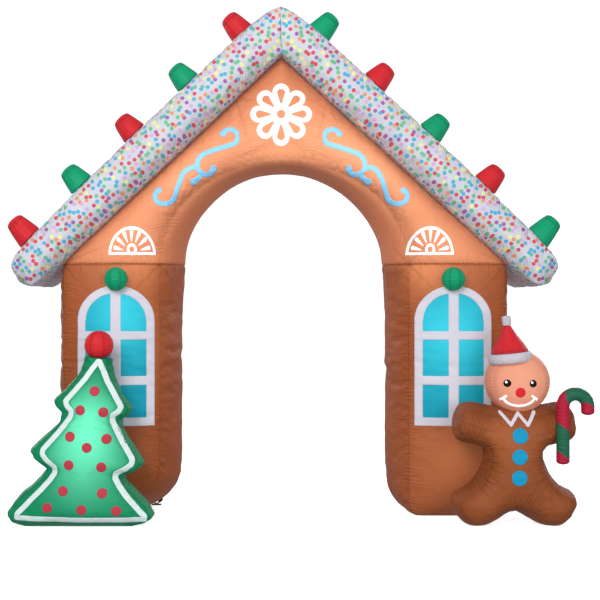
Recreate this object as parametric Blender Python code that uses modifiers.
"""Inflatable archway in the form of a gingerbread house front.

Metres, +Z up. The front faces -Y and +X is on the right of someone who faces
it. Every piece is placed in the arch's own frame, whose middle is the passage
at ground level, halfway through the legs. The empty that carries the pieces
stands a little behind the origin, because the tree and the figure stand in
front of the legs, and so the origin is the middle of the whole footprint.
"""

import math

import bmesh
import bpy
import numpy as np
from mathutils import Matrix, Vector

# ---- the whole arch ---------------------------------------------------------
ARCH_PLACE = (-0.045, 0.1275, 0.0)  # passage middle, from the footprint's middle
GAP = 0.0004                        # clearance between neighbouring pieces

# ---- legs: seam lines of the panels, and how far the air blows them out ------
LEG_INNER = 0.710
LEG_OUTER = 1.286
LEG_HALF_DEPTH = 0.300
LEG_HEIGHT = 1.460
LEG_PUFF_FRONT = 0.055
LEG_PUFF_INNER = 0.098
LEG_PUFF_OUTER = 0.035
LEG_END_FULLNESS = 8                # the higher, the nearer the puff comes to the leg's ends
SEAM_PUFF_FRONT = 0.042             # puff left at the seam between leg and gable
SEAM_PUFF_INNER = 0.120
FOOT_ROUND = 0.050                  # how far the foot's edge is drawn in
FOOT_ROUND_HEIGHT = 0.120
ROLLED_ROUND = 0.220                # the same at the left foot's passage side
ROLLED_ROUND_HEIGHT = 0.300
ROLLED_FRONT_LIFT = 0.130           # front edge of the left foot above the ground
ROLLED_FRONT_REACH = 0.550          # height at which that lift has faded out
ROLLED_FRONT_FROM = 0.150           # share of the half depth behind which nothing is lifted
LEG_ROW_HEIGHTS = (0.02, 0.06, 0.11, 0.18, 0.28, 0.42, 0.60, 0.80, 1.00, 1.18, 1.31, 1.40)

# ---- gable --------------------------------------------------------------------
ARCH_RISE = 0.585                   # crown of the passage above the legs
RIDGE_HEIGHT = 2.660                # underside of the roof at the ridge
RIDGE_LEAN = -0.020                 # the ridge leans over to the left
GABLE_PUFF = 0.075
CROWN_PUFF = 0.030
GABLE_FOOT_FULLNESS = 6             # the face keeps its puff almost to the seam at the legs

# ---- roof planks and the gumdrops on them -----------------------------------
PLANK_LENGTH = 1.990                # along the underside, ridge to eave
PLANK_THICKNESS = 0.190             # at the ridge seam
PLANK_SWELL = 0.040                 # added to it where the plank is full
EAVE_TAPER = 0.75                   # share of the swell that is gone at the eave
PLANK_HALF_DEPTH = 0.400
PLANK_PUFF_TOP = 0.040
PLANK_PUFF_FACE = 0.050
PLANK_PUFF_END = 0.035
EAVE_ROUND = 0.055
EAVE_ROUND_LENGTH = 0.100
RIDGE_FULLNESS = 0.45               # share of the puff that is left at the ridge seam
PLANK_END_FULLNESS = 10
PLANK_ROW_LENGTHS = (0.05, 0.13, 0.26, 0.45, 0.70, 0.97, 1.24, 1.50, 1.71, 1.85, 1.91, 1.95, 1.975)
GUMDROP_COUNT = 5
GUMDROP_FIRST = 0.067               # from the ridge, along the roof's underside
GUMDROP_PITCH = 0.431
GUMDROP_Y = -0.270
GUMDROP_LEVEL = 0.250               # foot of a gumdrop above the roof's underside
GUMDROP_RADIUS = 0.078
GUMDROP_TOP_RADIUS = 0.057
GUMDROP_HEIGHT = 0.122
GUMDROP_DOME = 0.012
GUMDROP_SUNK = 0.020                # foot that the plank's curved top cuts to shape

# ---- windows and the balls above them -----------------------------------------
WINDOW_X = 0.968
WINDOW_WIDTH = 0.440
WINDOW_BOTTOM = 0.530
WINDOW_TOP = 1.335
WINDOW_ARCH_RISE = 0.200
WINDOW_THICKNESS = 0.002
WINDOW_BLANK_Y = (-0.450, -0.150)   # depths between which the panel is cut out
BALL_X = 0.963
BALL_Z = 1.372
BALL_RADIUS = 0.068
BALL_STANDOFF = 0.020               # its middle in front of the leg's front

# ---- tree ---------------------------------------------------------------------
TREE_X = -1.145                     # middle of its foot
TREE_Y = -0.520
TREE_LEAN = math.radians(6.4)
TREE_HALF_DEPTH = 0.100
TREE_PUFF = 0.085
TREE_GUSSET_PUFF = 0.018
TREE_FULL_WIDTH = 0.250             # half width from which the tree is at its full depth
TREE_THIN_SHARE = 0.600             # share of the half depth left where it is thinnest
TREE_FOOT_ROUND = 0.035
TREE_FOOT_ROUND_HEIGHT = 0.050
TREE_BALL_RADIUS = 0.082
TREE_BALL_REST = 0.840              # share of the radius at which the ball rests on the neck
TREE_SECTIONS = (                   # height, half width: tips and notches of three tiers
    (0.000, 0.290), (0.022, 0.365), (0.065, 0.395), (0.120, 0.360), (0.190, 0.290),
    (0.250, 0.226), (0.300, 0.198), (0.345, 0.280), (0.382, 0.300), (0.440, 0.254),
    (0.500, 0.204), (0.560, 0.160), (0.610, 0.152), (0.642, 0.192), (0.674, 0.200),
    (0.725, 0.156), (0.790, 0.108), (0.860, 0.072), (0.930, 0.058),
)

# ---- gingerbread figure -------------------------------------------------------
FIGURE_X = 1.276
FIGURE_Y = -0.505
FIGURE_HALF_DEPTH = 0.172
TORSO_ROWS = (                      # height, half width of the cage
    (0.660, 0.165), (0.425, 0.118), (0.235, 0.235),
)
CROTCH_HEIGHT = 0.088
FULL_LIMB = 0.100                   # half width from which a limb is at its full depth
ARM_SECTIONS = (                    # out, height, half width, heading above level in degrees
    (0.240, 0.568, 0.130, 8.0), (0.345, 0.576, 0.120, 8.0),
)
LEG_SECTIONS = (                    # out, height, half width, heading above level in degrees
    (0.185, 0.115, 0.145, -48.0), (0.330, 0.045, 0.135, -32.0),
)
HEAD_X = 1.298
HEAD_Z = 0.797
HEAD_PROFILE = (                    # radius, distance from the middle: seam to centre
    (0.178, 0.000), (0.175, 0.045), (0.164, 0.085), (0.133, 0.120), (0.090, 0.142),
    (0.045, 0.152), (0.000, 0.155),
)
HAT_X = 1.252
HAT_Y = -0.550
HAT_Z = 0.930                       # middle of the band
HAT_LEAN = math.radians(-6.0)
BAND_RADIUS = 0.122
BAND_HEIGHT = 0.060
BAND_PROFILE = (                    # inset from the radius, share of the half height
    (0.018, 1.0), (0.004, 0.6), (0.000, 0.0), (0.004, -0.6), (0.018, -1.0),
)
CONE_RADIUS = 0.106
CONE_HEIGHT = 0.150
CONE_TOP_RADIUS = 0.017
CONE_PROFILE = ((0.40, 0.62), (0.74, 0.30))  # share of the radius, share of the height
TIP_RADIUS = 0.027
TIP_HEIGHT = 0.050
TIP_DOME = 0.006
TIP_TAPER = 0.900                   # foot radius as a share of the top radius

# ---- candy cane ---------------------------------------------------------------
CANE_X = 1.520
CANE_Y = -0.650
CANE_BOTTOM = 0.350
CANE_BEND_Z = 0.668                 # where the stem turns into the crook
CANE_BEND_RADIUS = 0.068
CANE_TUBE_RADIUS = 0.0360
CANE_TAIL = 0.048                   # straight end after the half turn

# ---- tie-down at the left leg's foot ------------------------------------------
TIE_X = -0.776
TIE_Y = 0.110
TIE_SPREAD = 0.032
TIE_HEIGHT = 0.036
TIE_SEWN_HEIGHT = 0.060             # upper part that is sewn to the leg
TIE_FOOT_SPREAD = 0.007
WEBBING_WIDTH = 0.020
WEBBING_THICKNESS = 0.0024
STAKE_RADIUS = 0.005
STAKE_LENGTH = 0.060

SLOPE = math.atan2(RIDGE_HEIGHT - LEG_HEIGHT, LEG_OUTER)
LEFT, RIGHT = -1, 1


# ---- scene and materials ------------------------------------------------------
def clear_scene():
    """Start from nothing."""
    for old in list(bpy.data.objects):
        bpy.data.objects.remove(old, do_unlink=True)


def linear(hex_colour):
    """Turn an sRGB hex colour into the linear values that a shader takes."""
    channels = [int(hex_colour[i:i + 2], 16) / 255 for i in (1, 3, 5)]
    return [c / 12.92 if c <= 0.04045 else ((c + 0.055) / 1.055) ** 2.4 for c in channels] + [1]


def fabric(name, hex_colour, roughness=0.55, metallic=0.0):
    """Coloured polyester cloth."""
    material = bpy.data.materials.new(name)
    material.use_nodes = True
    shader = material.node_tree.nodes["Principled BSDF"]
    shader.inputs["Base Color"].default_value = linear(hex_colour)
    shader.inputs["Roughness"].default_value = roughness
    shader.inputs["Metallic"].default_value = metallic
    material.diffuse_color = linear(hex_colour)
    return material


def add_piece(name, bm, material, place=(0, 0, 0), turn=(0, 0, 0)):
    """Make a piece of the arch from a closed mesh."""
    bm.normal_update()
    bmesh.ops.recalc_face_normals(bm, faces=bm.faces[:])
    mesh = bpy.data.meshes.new(name)
    bm.to_mesh(mesh)
    bm.free()
    mesh.shade_smooth()
    mesh.set_sharp_from_angle(angle=math.radians(40))
    mesh.materials.append(material)
    piece = bpy.data.objects.new(name, mesh)
    piece.location = place
    piece.rotation_euler = turn
    arch_pieces.objects.link(piece)
    piece.parent = arch
    return piece


def finished_copy(piece):
    """A mesh of the piece as its modifiers leave it, in the arch's frame."""
    bpy.context.view_layer.update()
    bm = bmesh.new()
    bm.from_object(piece, bpy.context.evaluated_depsgraph_get())
    bm.transform(arch.matrix_world.inverted() @ piece.matrix_world)
    return bm


def cut(piece, bm, operation="DIFFERENCE"):
    """Cut a piece with a closed mesh that stands in the arch's frame."""
    bm.normal_update()
    bmesh.ops.recalc_face_normals(bm, faces=bm.faces[:])
    name = "{}_cutter_{}".format(piece.name, len(piece.modifiers) + 1)
    mesh = bpy.data.meshes.new(name)
    bm.to_mesh(mesh)
    bm.free()
    cutter = bpy.data.objects.new(name, mesh)
    cutter.hide_render = True
    cutter.display_type = "WIRE"
    cutters.objects.link(cutter)
    cutter.parent = arch
    boolean = piece.modifiers.new(name, "BOOLEAN")
    boolean.operation = operation
    boolean.object = cutter


def swollen(carrier, distance):
    """The carrier's mesh, grown outwards by a distance all over."""
    bm = finished_copy(carrier)
    bmesh.ops.remove_doubles(bm, verts=bm.verts[:], dist=0.00001)
    bm.normal_update()
    moves = [v.normal * (distance * v.calc_shell_factor()) for v in bm.verts]
    for vert, move in zip(bm.verts, moves):
        vert.co += move
    return bm


def seat(piece, carrier):
    """Shape a piece to the carrier that it is sewn to, a gap away from it."""
    cut(piece, swollen(carrier, GAP))


# ---- blown-out boxes ----------------------------------------------------------
def boxed_grid(cuts):
    """A cube from -1 to 1 with its walls cut into rows along X, Y and Z."""
    bm = bmesh.new()
    bmesh.ops.create_cube(bm, size=2.0)
    for axis, rows in enumerate(cuts):
        normal = Vector((axis == 0, axis == 1, axis == 2))
        levels = rows if isinstance(rows, tuple) else np.linspace(-1, 1, rows + 1)[1:-1]
        for level in levels:
            whole = bm.verts[:] + bm.edges[:] + bm.faces[:]
            bmesh.ops.bisect_plane(bm, geom=whole, plane_co=normal * level, plane_no=normal)
    return bm


def blown_box(cuts, shape):
    """A boxed grid whose points a shape function moves into place."""
    bm = boxed_grid(cuts)
    for vert in bm.verts:
        vert.co = Vector(shape(*vert.co))
    return bm


def taut(across, fullness=2):
    """How far a panel stands out, 1 in its middle and 0 at its seams."""
    return 1 - abs(across) ** fullness


def between(low, high, share):
    """The value at a share of the way from low to high."""
    return low + (high - low) * share


def rounded(height, reach):
    """A quarter round: 1 on the ground, 0 from the reach upwards."""
    low = max(0.0, 1 - height / reach)
    return 1 - math.sqrt(1 - low * low)


def leg_shape(side, front_lift, inner_round, inner_round_height):
    """A leg: a across from passage to outside, b front to back, c foot to gable."""
    middle = (LEG_INNER + LEG_OUTER) / 2
    half_width = (LEG_OUTER - LEG_INNER) / 2

    def shape(a, b, c):
        height = (c + 1) / 2 * LEG_HEIGHT
        blown = taut(c, LEG_END_FULLNESS)
        low_front = LEG_PUFF_FRONT * blown if c < 0 else LEG_PUFF_FRONT
        low_inner = LEG_PUFF_INNER * blown if c < 0 else LEG_PUFF_INNER
        to_seam = max(0.0, c) ** 4
        inner_puff = between(low_inner, SEAM_PUFF_INNER, to_seam)
        puff = inner_puff if a < 0 else LEG_PUFF_OUTER * blown
        x = a * (half_width + puff * taut(b))
        y = b * (LEG_HALF_DEPTH + between(low_front, SEAM_PUFF_FRONT, to_seam) * taut(a))
        drawn_in = FOOT_ROUND * rounded(height, FOOT_ROUND_HEIGHT)
        inner_drawn_in = inner_round * rounded(height, inner_round_height)
        x -= a * (inner_drawn_in if a < 0 else drawn_in)
        y -= b * drawn_in
        forward = max(0.0, (ROLLED_FRONT_FROM - b) / (ROLLED_FRONT_FROM + 1))
        low = max(0.0, 1 - height / ROLLED_FRONT_REACH)
        height += front_lift * forward ** 1.6 * low ** 2
        return side * (middle + x), y, height

    return shape


def gable_shape(a, b, c):
    """The gable: a round the arch from left to right, b depth, c arch to roof."""
    angle = math.pi * (1 - a) / 2
    cosine, sine = math.cos(angle), math.sin(angle)
    rise = RIDGE_HEIGHT - LEG_HEIGHT
    inner = 1 / math.hypot(cosine / LEG_INNER, sine / ARCH_RISE)
    outer = 1 / (abs(cosine) / LEG_OUTER + sine / rise)
    away = (c + 1) / 2
    soffit_puff = between(CROWN_PUFF, SEAM_PUFF_INNER, abs(cosine) ** 2)
    radius = between(inner, outer, away) - (1 - away) * soffit_puff * taut(b)
    face_puff = between(GABLE_PUFF, SEAM_PUFF_FRONT, abs(a) ** GABLE_FOOT_FULLNESS)
    y = b * (LEG_HALF_DEPTH + face_puff * taut(c))
    height = LEG_HEIGHT + GAP + radius * sine
    return leaned(radius * cosine, height), y, height


def leaned(x, height):
    """Where a point of the gable or the roof lies once the ridge leans over."""
    return x + RIDGE_LEAN * (height - LEG_HEIGHT) / (RIDGE_HEIGHT - LEG_HEIGHT)


def roof_point(side, s, n):
    """X and Z of a point s down the roof's underside from the ridge and n above it."""
    x = side * (s * math.cos(SLOPE) + n * math.sin(SLOPE))
    height = RIDGE_HEIGHT - s * math.sin(SLOPE) + n * math.cos(SLOPE)
    return leaned(x, height), height


def plank_shape(side):
    """A roof plank: a from ridge to eave, b front to back, c underside to top."""
    def shape(a, b, c):
        full = taut(a, PLANK_END_FULLNESS)
        blown = between(RIDGE_FULLNESS, 1, full) if a < 0 else full
        swell = full if a < 0 else 1 - EAVE_TAPER * a * a
        thickness = PLANK_THICKNESS + PLANK_SWELL * swell
        to_end = max(0.0, 1 - (1 - a) / 2 * PLANK_LENGTH / EAVE_ROUND_LENGTH)
        drawn_in = EAVE_ROUND * (1 - math.sqrt(1 - to_end * to_end))
        n = thickness / 2 + c * (thickness / 2 - drawn_in) + GAP
        if c > 0:
            n += c * PLANK_PUFF_TOP * blown * taut(b, 3)
        y = b * (PLANK_HALF_DEPTH - drawn_in + PLANK_PUFF_FACE * blown * taut(c))
        mitre = GAP / 2 / math.cos(SLOPE) - n * math.tan(SLOPE)
        end = PLANK_LENGTH + PLANK_PUFF_END * taut(b, 4) * taut(c)
        x, height = roof_point(side, between(mitre, end, (a + 1) / 2), n)
        return x, y, height

    return shape


def build_legs():
    """The two standing legs. The left foot's front edge is rolled up further."""
    brown = fabric("brown_polyester", "#9A5A35")
    rows = tuple(2 * z / LEG_HEIGHT - 1 for z in LEG_ROW_HEIGHTS)
    rolled = leg_shape(LEFT, ROLLED_FRONT_LIFT, ROLLED_ROUND, ROLLED_ROUND_HEIGHT)
    plain = leg_shape(RIGHT, 0.0, FOOT_ROUND, FOOT_ROUND_HEIGHT)
    return {
        LEFT: add_piece("leg_left", blown_box((6, 6, rows), rolled), brown),
        RIGHT: add_piece("leg_right", blown_box((6, 6, rows), plain), brown),
    }


def build_gable():
    """The arched gable on the legs."""
    peach = fabric("peach_polyester", "#C97C50")
    return add_piece("gable", blown_box((32, 6, 6), gable_shape), peach)


def build_roof():
    """Two planks that meet in a mitre at the ridge."""
    dotted = fabric("dotted_polyester", "#DDDCE6")
    planks = {}
    for side, name in ((LEFT, "roof_left"), (RIGHT, "roof_right")):
        rows = tuple(2 * s / PLANK_LENGTH - 1 for s in PLANK_ROW_LENGTHS)
        planks[side] = add_piece(name, blown_box((rows, 8, 4), plank_shape(side)), dotted)
    return planks


# ---- turned and small pieces ----------------------------------------------------
def add_turned(name, profile, steps, material, place, turn):
    """Turn a profile of (radius, height) points round its piece's Z axis.

    The profile runs from the top of the axis, down the outer side, to the bottom.
    """
    bm = bmesh.new()
    verts = [bm.verts.new((radius, 0, height)) for radius, height in profile]
    for pair in zip(verts, verts[1:]):
        bm.edges.new(pair)
    piece = add_piece(name, bm, material, place, turn)
    screw = piece.modifiers.new("turned", "SCREW")
    screw.steps = steps
    screw.render_steps = steps
    screw.use_merge_vertices = True
    screw.merge_threshold = 0.00005
    return piece


def drum_profile(radius, top_radius, height, dome, sunk=0.0):
    """A taper with rounded rims and a domed top, its foot sunk below Z = 0."""
    rim = 0.12 * height
    return (
        (0, height + dome), (0.55 * top_radius, height + 0.72 * dome),
        (0.88 * top_radius, height), (top_radius, height - rim),
        ((radius + top_radius) / 2 * 1.03, height / 2), (radius, rim / 2),
        (radius, -sunk), (0, -sunk),
    )


def build_gumdrops(planks):
    """Five gumdrops on each plank, near its front edge, red and green in turn."""
    red = fabric("red_polyester", "#DC3340")
    green = fabric("green_polyester", "#0A9466")
    profile = drum_profile(
        GUMDROP_RADIUS, GUMDROP_TOP_RADIUS, GUMDROP_HEIGHT, GUMDROP_DOME, GUMDROP_SUNK)
    for side, word in ((LEFT, "left"), (RIGHT, "right")):
        for i in range(GUMDROP_COUNT):
            colour = red if (i % 2 == 0) == (side == LEFT) else green
            x, z = roof_point(side, GUMDROP_FIRST + i * GUMDROP_PITCH, GUMDROP_LEVEL)
            name = "gumdrop_{}_{}".format(word, i + 1)
            place, turn = (x, GUMDROP_Y, z), (0, side * SLOPE, 0)
            drop = add_turned(name, profile, 16, colour, place, turn)
            seat(drop, planks[side])


def window_outline():
    """The window's outline: straight sides and a round-arched top."""
    half = WINDOW_WIDTH / 2
    spring = WINDOW_TOP - WINDOW_ARCH_RISE
    arc = [(half * math.cos(t), spring + WINDOW_ARCH_RISE * math.sin(t))
           for t in np.linspace(0, math.pi, 17)]
    return [(-half, WINDOW_BOTTOM), (half, WINDOW_BOTTOM)] + arc


def build_windows(legs):
    """Window panels, sewn flat on the legs' fronts."""
    pane = fabric("window_polyester", "#5FD2E6", roughness=0.4)
    panels = {}
    for side, word in ((LEFT, "left"), (RIGHT, "right")):
        bm = bmesh.new()
        front, back_end = WINDOW_BLANK_Y
        ring = [bm.verts.new((side * WINDOW_X + x, front, z)) for x, z in window_outline()]
        face = bm.faces.new(ring)
        grown = bmesh.ops.extrude_face_region(bm, geom=[face])
        back = [g for g in grown["geom"] if isinstance(g, bmesh.types.BMVert)]
        bmesh.ops.translate(bm, verts=back, vec=(0, back_end - front, 0))
        panel = add_piece("window_" + word, bm, pane)
        cut(panel, swollen(legs[side], GAP + WINDOW_THICKNESS), "INTERSECT")
        seat(panel, legs[side])
        panels[side] = panel
    return panels


def build_balls(legs, panels):
    """A ball over each window."""
    green = fabric("green_ball_polyester", "#0E8A5C")
    for side, word in ((LEFT, "left"), (RIGHT, "right")):
        bm = bmesh.new()
        bmesh.ops.create_uvsphere(bm, u_segments=16, v_segments=10, radius=BALL_RADIUS)
        y = -LEG_HALF_DEPTH - LEG_PUFF_FRONT - BALL_STANDOFF
        ball = add_piece("ball_" + word, bm, green, (side * BALL_X, y, BALL_Z))
        seat(ball, legs[side])
        seat(ball, panels[side])


# ---- tree -----------------------------------------------------------------------
def tree_width(height):
    """Half width of the tree at a height, straight from section to section."""
    heights = [row[0] for row in TREE_SECTIONS]
    widths = [row[1] for row in TREE_SECTIONS]
    return float(np.interp(height, heights, widths))


def tree_shape(a, b, c):
    """The tree: a across, b front to back, c foot to neck, leaning over."""
    top = TREE_SECTIONS[-1][0]
    height = (c + 1) / 2 * top
    width = tree_width(height)
    full = min(1.0, width / TREE_FULL_WIDTH)
    thick = TREE_HALF_DEPTH * between(TREE_THIN_SHARE, 1, full)
    thick += TREE_PUFF * full * taut(a) * taut(c, 12)
    gusset = TREE_GUSSET_PUFF * taut(b)
    foot = max(0.0, 1 - height / TREE_FOOT_ROUND_HEIGHT)
    thick -= TREE_FOOT_ROUND * foot * foot
    return a * (width + gusset) + height * math.tan(TREE_LEAN), b * thick, height


def build_tree(legs, panels):
    """The tree, sewn to the left leg's front, with the ball on its neck."""
    green = fabric("tree_polyester", "#0B8A60")
    red = fabric("red_ball_polyester", "#C4202C")
    top = TREE_SECTIONS[-1][0]
    rows = tuple(2 * row[0] / top - 1 for row in TREE_SECTIONS[1:-1])
    bm = blown_box((8, 3, rows), tree_shape)
    tree = add_piece("tree", bm, green, (TREE_X, TREE_Y, 0))
    seat(tree, legs[LEFT])
    seat(tree, panels[LEFT])
    ball = bmesh.new()
    bmesh.ops.create_uvsphere(ball, u_segments=18, v_segments=12, radius=TREE_BALL_RADIUS)
    rest = -TREE_BALL_REST * TREE_BALL_RADIUS
    whole = ball.verts[:] + ball.edges[:] + ball.faces[:]
    bmesh.ops.bisect_plane(
        ball, geom=whole, plane_co=(0, 0, rest), plane_no=(0, 0, -1), clear_outer=True)
    bmesh.ops.holes_fill(ball, edges=[e for e in ball.edges if e.is_boundary])
    place = (TREE_X + top * math.tan(TREE_LEAN), TREE_Y, top + GAP - rest)
    add_piece("tree_ball", ball, red, place)


# ---- gingerbread figure -----------------------------------------------------------
def limb(bm, face, sections, side):
    """Grow a limb out of a face of the cage, one section after another."""
    for out, height, half, turn in sections:
        face = bmesh.ops.extrude_discrete_faces(bm, faces=[face])["faces"][0]
        angle = math.radians(turn)
        across = Vector((side * -math.sin(angle), 0, math.cos(angle)))
        centre = Vector((side * out, 0, height))
        middle = face.calc_center_median()
        for vert in face.verts:
            upper = (vert.co - middle).dot(across) > 0
            depth = math.copysign(FIGURE_HALF_DEPTH * min(1.0, half / FULL_LIMB), vert.co.y)
            vert.co = centre + across * (half if upper else -half)
            vert.co.y = depth


def torso_shape(a, b, c):
    """The cage of the torso: rows between the neck and the hips."""
    heights = [row[0] for row in reversed(TORSO_ROWS)]
    widths = [row[1] for row in reversed(TORSO_ROWS)]
    level = (c + 1) / 2 * (len(heights) - 1)
    rows = range(len(heights))
    height = float(np.interp(level, rows, heights))
    if c < -0.99:
        height = CROTCH_HEIGHT + (height - CROTCH_HEIGHT) * abs(a)
    return a * float(np.interp(level, rows, widths)), b * FIGURE_HALF_DEPTH, height


def facing(bm, direction, test):
    """The one face of a cage that looks in a direction and passes a test."""
    bm.normal_update()
    found = [f for f in bm.faces
             if f.normal.dot(Vector(direction)) > 0.7 and test(f.calc_center_median())]
    return found[0]


def build_figure(legs, panels):
    """The gingerbread figure: body, head and hat."""
    brown = fabric("gingerbread_polyester", "#8E4E2A")
    glow = fabric("head_polyester", "#E9A67E")
    waist = TORSO_ROWS[1][0]
    cage = blown_box((2, 1, 2), torso_shape)
    for side in (LEFT, RIGHT):
        shoulder = facing(cage, (side, 0, 0), lambda c: c.z > waist)
        limb(cage, shoulder, ARM_SECTIONS, side)
        hip = facing(cage, (side * 0.6, 0, -0.8), lambda c: c.z < TORSO_ROWS[2][0])
        limb(cage, hip, LEG_SECTIONS, side)
    body = add_piece("figure_body", cage, brown, (FIGURE_X, FIGURE_Y, 0))
    smooth = body.modifiers.new("puffed", "SUBSURF")
    smooth.levels = 2
    smooth.render_levels = 2
    ground = bmesh.new()
    bmesh.ops.create_cube(ground, size=1.0)
    bmesh.ops.scale(ground, verts=ground.verts[:], vec=(1.2, 0.8, 0.2))
    bmesh.ops.translate(ground, verts=ground.verts[:], vec=(FIGURE_X, FIGURE_Y, -0.1))
    cut(body, ground)
    seat(body, legs[RIGHT])
    seat(body, panels[RIGHT])

    profile = [(r, d) for r, d in reversed(HEAD_PROFILE)]
    profile += [(r, -d) for r, d in HEAD_PROFILE[1:]]
    head = add_turned(
        "figure_head", profile, 28, glow, (HEAD_X, FIGURE_Y, HEAD_Z), (math.pi / 2, 0, 0))
    seat(body, head)
    return body, head


def build_hat(head):
    """A small leaning hat: rolled band, cone and tip."""
    white = fabric("white_polyester", "#CBC8D6")
    red = fabric("hat_polyester", "#CF2E38")
    half = BAND_HEIGHT / 2
    lean = Matrix.Rotation(HAT_LEAN, 3, "Y")
    middle = Vector((HAT_X, HAT_Y, HAT_Z))

    def above(distance):
        return middle + lean @ Vector((0, 0, distance))

    band_profile = [(0, half)]
    band_profile += [(BAND_RADIUS - inset, half * share) for inset, share in BAND_PROFILE]
    band_profile += [(0, -half)]
    turn = (0, HAT_LEAN, 0)
    band = add_turned("hat_band", band_profile, 20, white, middle, turn)
    cone_profile = [(0, CONE_HEIGHT), (CONE_TOP_RADIUS, CONE_HEIGHT)]
    cone_profile += [(CONE_RADIUS * out, CONE_HEIGHT * up) for out, up in CONE_PROFILE]
    cone_profile += [(CONE_RADIUS, 0), (0, 0)]
    cone = add_turned("hat_cone", cone_profile, 20, red, above(half + GAP), turn)
    tip = drum_profile(TIP_RADIUS * TIP_TAPER, TIP_RADIUS, TIP_HEIGHT, TIP_DOME)
    add_turned("hat_tip", tip, 12, white, above(half + 2 * GAP + CONE_HEIGHT), turn)
    seat(band, head)
    seat(cone, head)


def build_cane(body):
    """The candy cane, sewn to the front of the figure's hand."""
    striped = fabric("cane_polyester", "#A82A3A")
    path = bpy.data.curves.new("candy_cane_path", "CURVE")
    path.dimensions = "3D"
    path.bevel_depth = CANE_TUBE_RADIUS
    path.bevel_resolution = 4
    path.use_fill_caps = True
    stem = [(0, z) for z in np.linspace(CANE_BOTTOM, CANE_BEND_Z, 5)[:-1]]
    crook = [(CANE_BEND_RADIUS * (1 - math.cos(t)), CANE_BEND_Z + CANE_BEND_RADIUS * math.sin(t))
             for t in np.linspace(0, math.pi, 11)]
    tail = [(2 * CANE_BEND_RADIUS, CANE_BEND_Z - CANE_TAIL)]
    points = stem + crook + tail
    spline = path.splines.new("POLY")
    spline.points.add(len(points) - 1)
    for point, (x, z) in zip(spline.points, points):
        point.co = (x, 0, z, 1)
    wire = bpy.data.objects.new("candy_cane_wire", path)
    cutters.objects.link(wire)
    bpy.context.view_layer.update()
    tube = bpy.data.meshes.new_from_object(
        wire.evaluated_get(bpy.context.evaluated_depsgraph_get()))
    bpy.data.objects.remove(wire, do_unlink=True)
    bm = bmesh.new()
    bm.from_mesh(tube)
    bpy.data.meshes.remove(tube)
    bmesh.ops.remove_doubles(bm, verts=bm.verts[:], dist=0.00005)
    cane = add_piece("candy_cane", bm, striped, (CANE_X, CANE_Y, 0))
    seat(body, cane)


def build_tie(leg):
    """The webbing V at the left foot and the ground peg in it."""
    black = fabric("black_webbing", "#1C1A1C")
    steel = fabric("peg_steel", "#8A8C8E", roughness=0.35, metallic=1.0)
    bm = bmesh.new()
    half = WEBBING_WIDTH / 2
    on_peg = 2 * STAKE_RADIUS + GAP + WEBBING_THICKNESS / 2
    side_points = (
        (TIE_SPREAD, TIE_HEIGHT + TIE_SEWN_HEIGHT), (TIE_SPREAD, TIE_HEIGHT),
        (TIE_FOOT_SPREAD, on_peg))
    route = [(-x, z) for x, z in side_points] + list(reversed(side_points))
    rows = [[bm.verts.new((x, y, z)) for y in (-half, half)] for x, z in route]
    for low, high in zip(rows, rows[1:]):
        bm.faces.new((low[0], low[1], high[1], high[0]))
    loop = add_piece("tie_loop", bm, black, (TIE_X, TIE_Y, 0))
    thick = loop.modifiers.new("webbing", "SOLIDIFY")
    thick.thickness = WEBBING_THICKNESS
    thick.offset = 0
    seat(loop, leg)
    peg = bmesh.new()
    bmesh.ops.create_cone(
        peg, cap_ends=True, segments=12, radius1=STAKE_RADIUS, radius2=STAKE_RADIUS,
        depth=STAKE_LENGTH)
    add_piece("stake", peg, steel, (TIE_X, TIE_Y, STAKE_RADIUS), (0, math.pi / 2, 0))


clear_scene()
arch_pieces = bpy.data.collections.new("inflatable_arch")
cutters = bpy.data.collections.new("cutters")
bpy.context.scene.collection.children.link(arch_pieces)
bpy.context.scene.collection.children.link(cutters)
arch = bpy.data.objects.new("arch_middle", None)
arch.location = ARCH_PLACE
arch_pieces.objects.link(arch)

leg_pieces = build_legs()
build_gable()
plank_pieces = build_roof()
build_gumdrops(plank_pieces)
window_pieces = build_windows(leg_pieces)
build_balls(leg_pieces, window_pieces)
build_tree(leg_pieces, window_pieces)
figure_body, figure_head = build_figure(leg_pieces, window_pieces)
build_hat(figure_head)
build_cane(figure_body)
build_tie(leg_pieces[LEFT])
